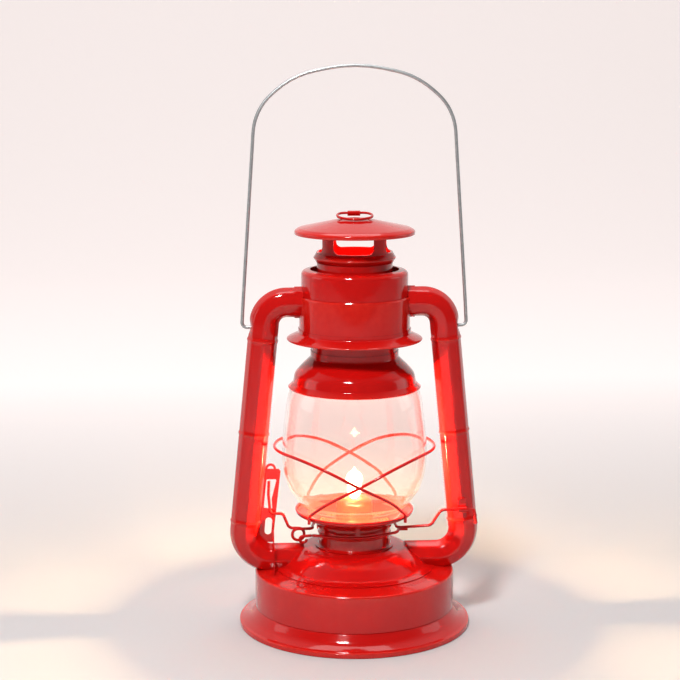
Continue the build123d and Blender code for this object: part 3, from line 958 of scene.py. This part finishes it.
@dataclass
class Hood:
    """Hood between the tubes: lower shell, pressed cover and flared flange."""

    shell: Turning
    cover: Turning
    flange: Turning
    spring_turns: float = 3.1
    spring_radius: float = 34.4
    spring_wire: float = 0.6
    chimney_travel: float = 8.0

    @classmethod
    def standard(cls) -> "Hood":
        """The hood's own sizes, in mm.

        Returns:
            The sub-assembly, ready to build.
        """
        return cls(
            shell=Turning("hood_shell", ((39.0, 26.8), (39.6, 25.8), (39.6, 0.0)), (1.2,),
                          worn=(1,)),
            cover=Turning("hood_cover", ((31.7, 19.8), (38.1, 19.0), (38.1, 0.0)), (3.4,), worn=(1,)),
            flange=Turning("hood_flange",
                           ((40.35, 7.9), (40.35, 4.9), (47.6, 1.4), (48.7, 0.6), (48.3, 0.0)),
                           (1.2, 1.2, 0.4), worn=(3,)))

    def build(self, shop: Paintshop, works: NodeWorks) -> None:
        """Turn the sheets and wind the chimney spring.

        Args:
            shop: Keeps the materials.
            works: Keeps the Geometry Nodes trees.
        """
        for turning in (self.shell, self.cover, self.flange):
            piece = turning.build()
            shop.dress(piece, Surface.ENAMEL)
            claim(piece, "frame")
        low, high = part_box("chimney_spring")
        spring = works.run("chimney_spring_coil", works.coil_tree, bpy.data.meshes.new("coil_seed"), {
            "Turns": self.spring_turns, "Coil Radius": self.spring_radius * MM,
            "Height": high[2] - low[2] - 2 * self.spring_wire * MM, "Foot": (0, 0,
                                                                             low[2] + self.spring_wire * MM),
            "Wire Radius": self.spring_wire * MM, "Finish": shop.materials[Surface.STEEL]})
        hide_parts("chimney_spring")
        claim(spring, "frame")
        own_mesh(spring)


@dataclass
class Throat:
    """Collar between the dome and the globe plate."""

    collar: Turning

    @classmethod
    def standard(cls) -> "Throat":
        """The collar's own sizes, in mm.

        Returns:
            The sub-assembly, ready to build.
        """
        return cls(collar=Turning("burner_collar",
                                  ((26.1, 17.1), (26.1, 10.9), (26.9, 9.9), (26.1, 8.9), (26.1, 0.8),
                                   (28.6, 0.7)), (0.8, 0.5, 0.8, 1.2), worn=(2,)))

    def build(self, shop: Paintshop) -> None:
        """Turn the collar.

        Args:
            shop: Keeps the materials.
        """
        piece = self.collar.build()
        shop.dress(piece, Surface.ENAMEL)
        claim(piece, "frame")


@dataclass
class GlobeCarriage:
    """Globe plate, blown globe and the two guard wires."""

    globe: Turning
    guard_wire: float = 1.1
    corners: tuple[Point3, ...] = (
        (43.9, -51.5, 80.8), (44.2, -51.0, 86.5), (51.6, -26, 100.5), (54.6, 0, 113.6), (56.0, 24, 125.2),
        (57.0, 46, 130.8), (58.4, 69, 131.8), (58.8, 90, 131.4))
    crossing_gap: float = 2.7

    @classmethod
    def standard(cls) -> "GlobeCarriage":
        """The globe's own sizes, in mm.

        Returns:
            The sub-assembly, ready to build.
        """
        return cls(globe=Turning("globe",
                                 ((33.4, 0.0), (34.4, 5.0), (40.3, 9.6), (47.6, 20.0), (51.5, 32.0),
                                  (52.6, 45.0), (51.3, 64.0), (48.4, 87.0), (46.0, 93.0),
                                  (42.0, 98.8)),
                                 (4, 8, 14, 30, 34, 60, 40, 10), thickness=-2.0))

    def guard_route(self, side: int, gap: float) -> list[Vector]:
        """Route of one guard wire.

        Args:
            side: 1 for the wire that leans to the right, -1 for its mirror image.
            gap: How far the wire stands out at the crossings.

        Returns:
            Points in metres.
        """
        rear = [(r, 180 - a, h) for r, a, h in reversed(self.corners[:-1])]
        route = []
        for radius, azimuth, height in list(self.corners) + rear:
            angle = math.radians(azimuth)
            out = radius + gap * max(0.0, 1 - abs(math.sin(angle)) * 1.6)
            route.append(Vector((side * out * math.sin(angle), -out * math.cos(angle), height)) * MM)
        return rounded_path(route, easy_radii(route), math.radians(3))

    def build(self, shop: Paintshop, works: NodeWorks) -> None:
        """Blow the globe and bend the wires.

        Args:
            shop: Keeps the materials.
            works: Keeps the Geometry Nodes trees.
        """
        globe = self.globe.build()
        shop.dress(globe, Surface.GLASS)
        globe.visible_shadow = False
        claim(globe, "globe_carriage")
        for node, side, gap in (("guard_wire_right", 1, 0.0), ("guard_wire_left", -1, self.crossing_gap)):
            wire = works.wire(f"{node}_bent", self.guard_route(side, gap), self.guard_wire,
                              shop.materials[Surface.ENAMEL])
            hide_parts(node)
            claim(wire, "globe_carriage")


@dataclass
class Chimney:
    """Bell, flue tube, bead ring and rain cap."""

    sheets: tuple[Turning, ...]

    @classmethod
    def standard(cls) -> "Chimney":
        """The chimney's own sizes, in mm.

        Returns:
            The sub-assembly, ready to build.
        """
        return cls(sheets=(
            Turning("bell",
                    ((31.6, 26.9), (31.6, 22.2), (38.0, 16.0), (43.0, 10.4), (44.2, 4.0), (46.9, 0.9),
                     (47.6, 0.4)),
                    (2.2, 9, 9, 1.6, 0.4), worn=(6,)),
            Turning("chimney_tube", ((27.0, 78.6), (27.0, 56.4), (30.8, 53.4), (30.8, 0.0)), (1.2, 1.2)),
            Turning("chimney_ring", ((27.3, 6.8), (28.2, 5.4), (29.5, 3.4), (28.2, 1.4), (27.3, 0.0)),
                    (0.8, 1.0, 0.8), thickness=0.4, worn=(2,)),
            Turning("cap", ((0.0, 11.7), (9.0, 11.2), (39.8, 4.6), (43.0, 2.7), (42.7, 0.0), (41.6, 0.2)),
                    (20, 5, 1.9, 0.4), worn=(3, 4))))

    def build(self, shop: Paintshop) -> None:
        """Turn every sheet of the chimney.

        Args:
            shop: Keeps the materials.
        """
        for turning in self.sheets:
            piece = turning.build()
            shop.dress(piece, Surface.ENAMEL)
            claim(piece, "chimney")


@dataclass
class WirePiece:
    """One bent wire: corners in mm in the row frame and a bend radius for each inner corner."""

    node: str
    body: str
    slot: str
    surface: Surface
    radius: float
    corners: tuple[Point3, ...]
    bends: tuple[float, ...] | None = None

    def build(self, shop: Paintshop, works: NodeWorks) -> None:
        """Bend the wire along its route, in place of its CAD node.

        Args:
            shop: Keeps the materials.
            works: Keeps the Geometry Nodes trees.
        """
        corners = [Vector(corner) * MM for corner in self.corners]
        bends = [bend * MM for bend in self.bends] if self.bends else easy_radii(corners)
        route = rounded_path(corners, bends, math.radians(6))
        wire = works.wire(f"{self.node}_bent", route, self.radius, shop.materials[self.surface])
        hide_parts(self.node)
        claim(wire, self.body)


@dataclass
class WireWork:
    """The bail, the lift lever with its hoop, and the finger ring."""

    bail_half: tuple[Point2, ...] = ((72.5, 218.8), (80.4, 218.8), (79.4, 236.0), (70.2, 372.5),
                                     (43.5, 396.0))
    bail_peak: float = 404.9
    hoop_radius: float = 30.5
    hoop_height: float = 71.0
    pivot: Point3 = (77.1, -13.3, 85.7)
    coil_centre: Point2 = (-41.0, 66.4)
    coil_half: float = 4.3
    curl_centre: Point2 = (-37.6, 63.6)
    curl_half: float = 2.4
    ring_bar: Point2 = (7.6, 299.1)

    def bail(self) -> WirePiece:
        """Galvanised wire handle.

        Returns:
            The bail.
        """
        left = [(-x, 0.0, z) for x, z in self.bail_half]
        right = [(x, 0.0, z) for x, z in reversed(self.bail_half)]
        return WirePiece("bail", "bail", "galvanised_wire", Surface.ZINC_WIRE, 1.25,
                         tuple(left + [(0.0, 0.0, self.bail_peak)] + right))

    def lever(self) -> WirePiece:
        """Lever wire: handle, coil, half hoop behind the collar, pivot and tail.

        Returns:
            The lever.
        """
        x, z = self.coil_centre
        half = self.coil_half
        hoop = self.hoop_radius
        level = self.hoop_height
        _, py, pz = self.pivot
        corners = (
            (-62.0, -1.0, 106.0), (-62.4, -1.0, 96.0), (-61.2, -1.0, 82.0), (-52.0, -1.0, 81.6),
            (-47.6, -1.0, 70.8),
            (x + half, -1.6, z + half), (x + half, -2.3, z - half), (x - half, -3.0, z - half),
            (x - half, -3.7, z + half),
            (-hoop, -4.4, level), (-hoop, 17.6, level), (0, 35.2, level), (hoop, 17.6, level),
            (hoop, -6.0, level),
            (55.0, -10.0, 73.4), (61.8, py, pz), (86.0, py, pz), (87.6, py + 0.2, 75.0))
        bends = (6.0, 3.0, 3.0, 4.0, 4.1, 4.1, 4.1, 4.1, 3.0, 30.2, 30.2, 30.2, 4.5, 5.0, 5.0, 2.2)
        return WirePiece("lift_lever", "lift_lever", "red_enamel", Surface.ENAMEL, 1.05, corners, bends)

    def hoop(self) -> WirePiece:
        """Second lever wire: a small curl and the half hoop in front of the collar.

        Returns:
            The hoop wire.
        """
        x, z = self.curl_centre
        half = self.curl_half
        hoop = self.hoop_radius
        level = self.hoop_height
        corners = (
            (x + half, -5.9, z), (x + half, -6.0, z - half), (x - half, -6.3, z - half),
            (x - half, -7.4, z + half),
            (-hoop - 0.8, -8.4, z + half + 1.0), (-hoop, -18.2, level - 1.2), (0, -35.6, level),
            (hoop, -17.6, level),
            (hoop + 0.4, -9.9, level), (38.0, -10.4, level))
        bends = (2.3, 2.3, 2.3, 2.6, 8.0, 28.0, 9.0, 2.2)
        return WirePiece("lever_hoop", "lift_lever", "red_enamel", Surface.ENAMEL, 1.05, corners, bends)

    def finger_ring(self) -> WirePiece:
        """D-shaped finger ring that lies on the cap.

        Returns:
            The ring.
        """
        y, z = self.ring_bar
        corners = (
            (0.0, y, z), (-9.2, y, z), (-12.6, 2.0, z - 0.7), (-12.0, -6.6, z - 1.8), (0.0, -15.2, z - 2.9),
            (12.0, -6.6, z - 1.8), (12.6, 2.0, z - 0.7), (9.2, y, z), (0.0, y, z))
        return WirePiece("lift_ring", "lift_ring", "red_enamel", Surface.ENAMEL, 0.9, corners)

    def build(self, shop: Paintshop, works: NodeWorks) -> None:
        """Bend all wires.

        Args:
            shop: Keeps the materials.
            works: Keeps the Geometry Nodes trees.
        """
        for piece in (self.bail(), self.lever(), self.hoop(), self.finger_ring()):
            piece.build(shop, works)


@dataclass
class Flame:
    """Flat oil flame over the wick, as wide as the wick and drawn out to a tip."""

    height: float = 24.0
    half_width: float = 8.6
    half_depth: float = 5.6
    turn_deg: float = -15.0
    sink: float = 1.0

    def build(self, shop: Paintshop) -> None:
        """Stack rounded sections from the wick to the tip.

        Args:
            shop: Keeps the materials.
        """
        shape = bmesh.new()
        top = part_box("wick")[1][2] / MM - self.sink
        rows = 26
        around = 36
        turn = Matrix.Rotation(math.radians(self.turn_deg), 4, "Z")
        rings = []
        for i in range(1, rows):
            share = i / rows
            swell = math.sin(math.pi * share ** 0.72) ** 0.75
            taper = 1 - 0.3 * share
            ring = []
            for k in range(around):
                angle = 2 * math.pi * k / around
                point = Vector((self.half_depth * swell * taper * math.cos(angle),
                                self.half_width * swell * taper * math.sin(angle),
                                top + self.height * share))
                ring.append(shape.verts.new(turn @ (point * MM)))
            rings.append(ring)
        foot = shape.verts.new(turn @ Vector((0, 0, top * MM)))
        tip = shape.verts.new(turn @ Vector((0, 0, (top + self.height) * MM)))
        for a, b in zip(rings, rings[1:]):
            for k in range(around):
                shape.faces.new((a[k], a[(k + 1) % around], b[(k + 1) % around], b[k]))
        for k in range(around):
            shape.faces.new((foot, rings[0][(k + 1) % around], rings[0][k]))
            shape.faces.new((tip, rings[-1][k], rings[-1][(k + 1) % around]))
        bmesh.ops.recalc_face_normals(shape, faces=shape.faces)
        mesh = bpy.data.meshes.new("oil_flame")
        shape.to_mesh(mesh)
        shape.free()
        flame = object_from("oil_flame", mesh)
        flame.visible_shadow = False
        shop.dress(flame, Surface.FLAME)
        claim(flame, "wick")


# ---- studio ---------------------------------------------------------------------------------
@dataclass
class Studio:
    """Pale cove, soft lights and the camera."""

    lens: float = 93.5
    pitch_deg: float = 10.0
    orbit_deg: float = -4.0
    distance: float = 1.244
    height: float = 0.428
    slide: float = -0.0104
    cove_depth: float = 2.6
    cove_radius: float = 0.9
    cove_half_width: float = 4.0
    cove_height: float = 3.5
    cove_hex: str = "#EFE3E0"
    paper_hex: str = "#C4C0C0"
    cove_glow: float = 0.66
    flame_power: float = 5.0
    glow_rise: float = 0.014

    def build(self) -> None:
        """Set the whole studio up."""
        self.build_cove()
        self.build_world()
        self.build_lights()
        self.build_camera()
        bpy.context.scene.view_settings.view_transform = "Standard"

    def build_cove(self) -> None:
        """Floor that sweeps up into a back wall."""
        profile = [Vector((0, -1.6, 0)), Vector((0, self.cove_depth, 0)),
                   Vector((0, self.cove_depth, self.cove_height))]
        line = rounded_path(profile, [self.cove_radius], math.radians(4))
        verts = []
        for point in line:
            verts.append((-self.cove_half_width, point.y, point.z))
            verts.append((self.cove_half_width, point.y, point.z))
        faces = [(2 * i, 2 * i + 1, 2 * i + 3, 2 * i + 2) for i in range(len(line) - 1)]
        mesh = bpy.data.meshes.new("cove")
        mesh.from_pydata(verts, [], faces)
        cove = object_from("cove", mesh)
        material = bpy.data.materials.new("matt_paper")
        material.use_nodes = True
        shader = material.node_tree.nodes["Principled BSDF"]
        shader.inputs["Base Color"].default_value = linear(self.paper_hex)
        shader.inputs["Roughness"].default_value = 0.9
        shader.inputs["Emission Color"].default_value = linear(self.cove_hex)
        place = add_node(material.node_tree, "ShaderNodeTexCoord").outputs["Object"]
        depth = add_node(material.node_tree, "ShaderNodeSeparateXYZ", {0: place}).outputs["Y"]
        wash = add_node(material.node_tree, "ShaderNodeMapRange",
                        {"Value": depth, "From Min": 0.15, "From Max": 0.9,
                         "To Min": 0.0, "To Max": self.cove_glow})
        material.node_tree.links.new(wash.outputs["Result"], shader.inputs["Emission Strength"])
        cove.data.materials.append(material)

    def build_world(self) -> None:
        """Even white room light, dimmer from behind the camera."""
        world = bpy.data.worlds.new("room")
        bpy.context.scene.world = world
        world.use_nodes = True
        tree = world.node_tree
        tree.nodes.clear()
        ray = add_node(tree, "ShaderNodeTexCoord")
        parts = add_node(tree, "ShaderNodeSeparateXYZ", {0: ray.outputs["Generated"]})
        depth = add_node(tree, "ShaderNodeMapRange",
                         {"Value": parts.outputs["Y"], "From Min": -0.3, "From Max": 0.5,
                          "To Min": 0.10, "To Max": 0.7})
        background = add_node(tree, "ShaderNodeBackground", {"Color": (1.0, 0.985, 0.98, 1.0),
                                                             "Strength": depth.outputs["Result"]})
        add_node(tree, "ShaderNodeOutputWorld", {0: background.outputs[0]})

    def build_lights(self) -> None:
        """Key softbox, side fills, backdrop wash and the glow of the flame."""
        target = Vector((0, 0, 0.17))
        for name, place, size, power in (
                ("key_softbox", (-0.38, -1.05, 1.5), 0.26, 27.0),
                ("left_fill", (-1.7, 0.1, 0.6), 0.8, 2.0),
                ("right_fill", (1.7, 0.1, 0.6), 0.8, 1.6),
                ("back_wash", (0.0, 0.6, 2.6), 1.6, 20.0)):
            light = bpy.data.lights.new(name, "AREA")
            light.size = size
            light.energy = power
            lamp = bpy.data.objects.new(name, light)
            lamp.location = place
            lamp.rotation_euler = (target - Vector(place)).to_track_quat("-Z", "Y").to_euler()
            bpy.context.scene.collection.objects.link(lamp)
        glow = bpy.data.lights.new("flame_glow", "POINT")
        glow.energy = self.flame_power
        glow.color = (1.0, 0.70, 0.38)
        glow.shadow_soft_size = 0.006
        lamp = bpy.data.objects.new("flame_glow", glow)
        lamp.location = (0, 0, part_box("wick")[1][2] + self.glow_rise)
        bpy.context.scene.collection.objects.link(lamp)

    def build_camera(self) -> None:
        """Camera at the front, looking slightly down."""
        lens = bpy.data.cameras.new("camera")
        lens.lens = self.lens
        lens.sensor_width = 36.0
        camera = bpy.data.objects.new("camera", lens)
        orbit = Matrix.Rotation(math.radians(self.orbit_deg), 4, "Z")
        place = Matrix.Translation((self.slide, -self.distance, self.height))
        camera.matrix_world = orbit @ place @ Matrix.Rotation(math.radians(90 - self.pitch_deg), 4, "X")
        bpy.context.scene.collection.objects.link(camera)
        bpy.context.scene.camera = camera


def main() -> None:
    """Build the lantern around its frame and set up the studio."""
    logging.basicConfig(level=logging.INFO, format="%(message)s")
    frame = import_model()
    shop = Paintshop()
    works = NodeWorks()
    shop.dress_frame(frame)
    Fount.standard().build(shop, works)
    for node, side in (("left_air_tube", -1), ("right_air_tube", 1)):
        AirTube(node, side).build(shop)
    Throat.standard().build(shop)
    Hood.standard().build(shop, works)
    GlobeCarriage.standard().build(shop, works)
    Chimney.standard().build(shop)
    WireWork().build(shop, works)
    Flame().build(shop)
    Studio().build()


if __name__ == "__main__":
    main()
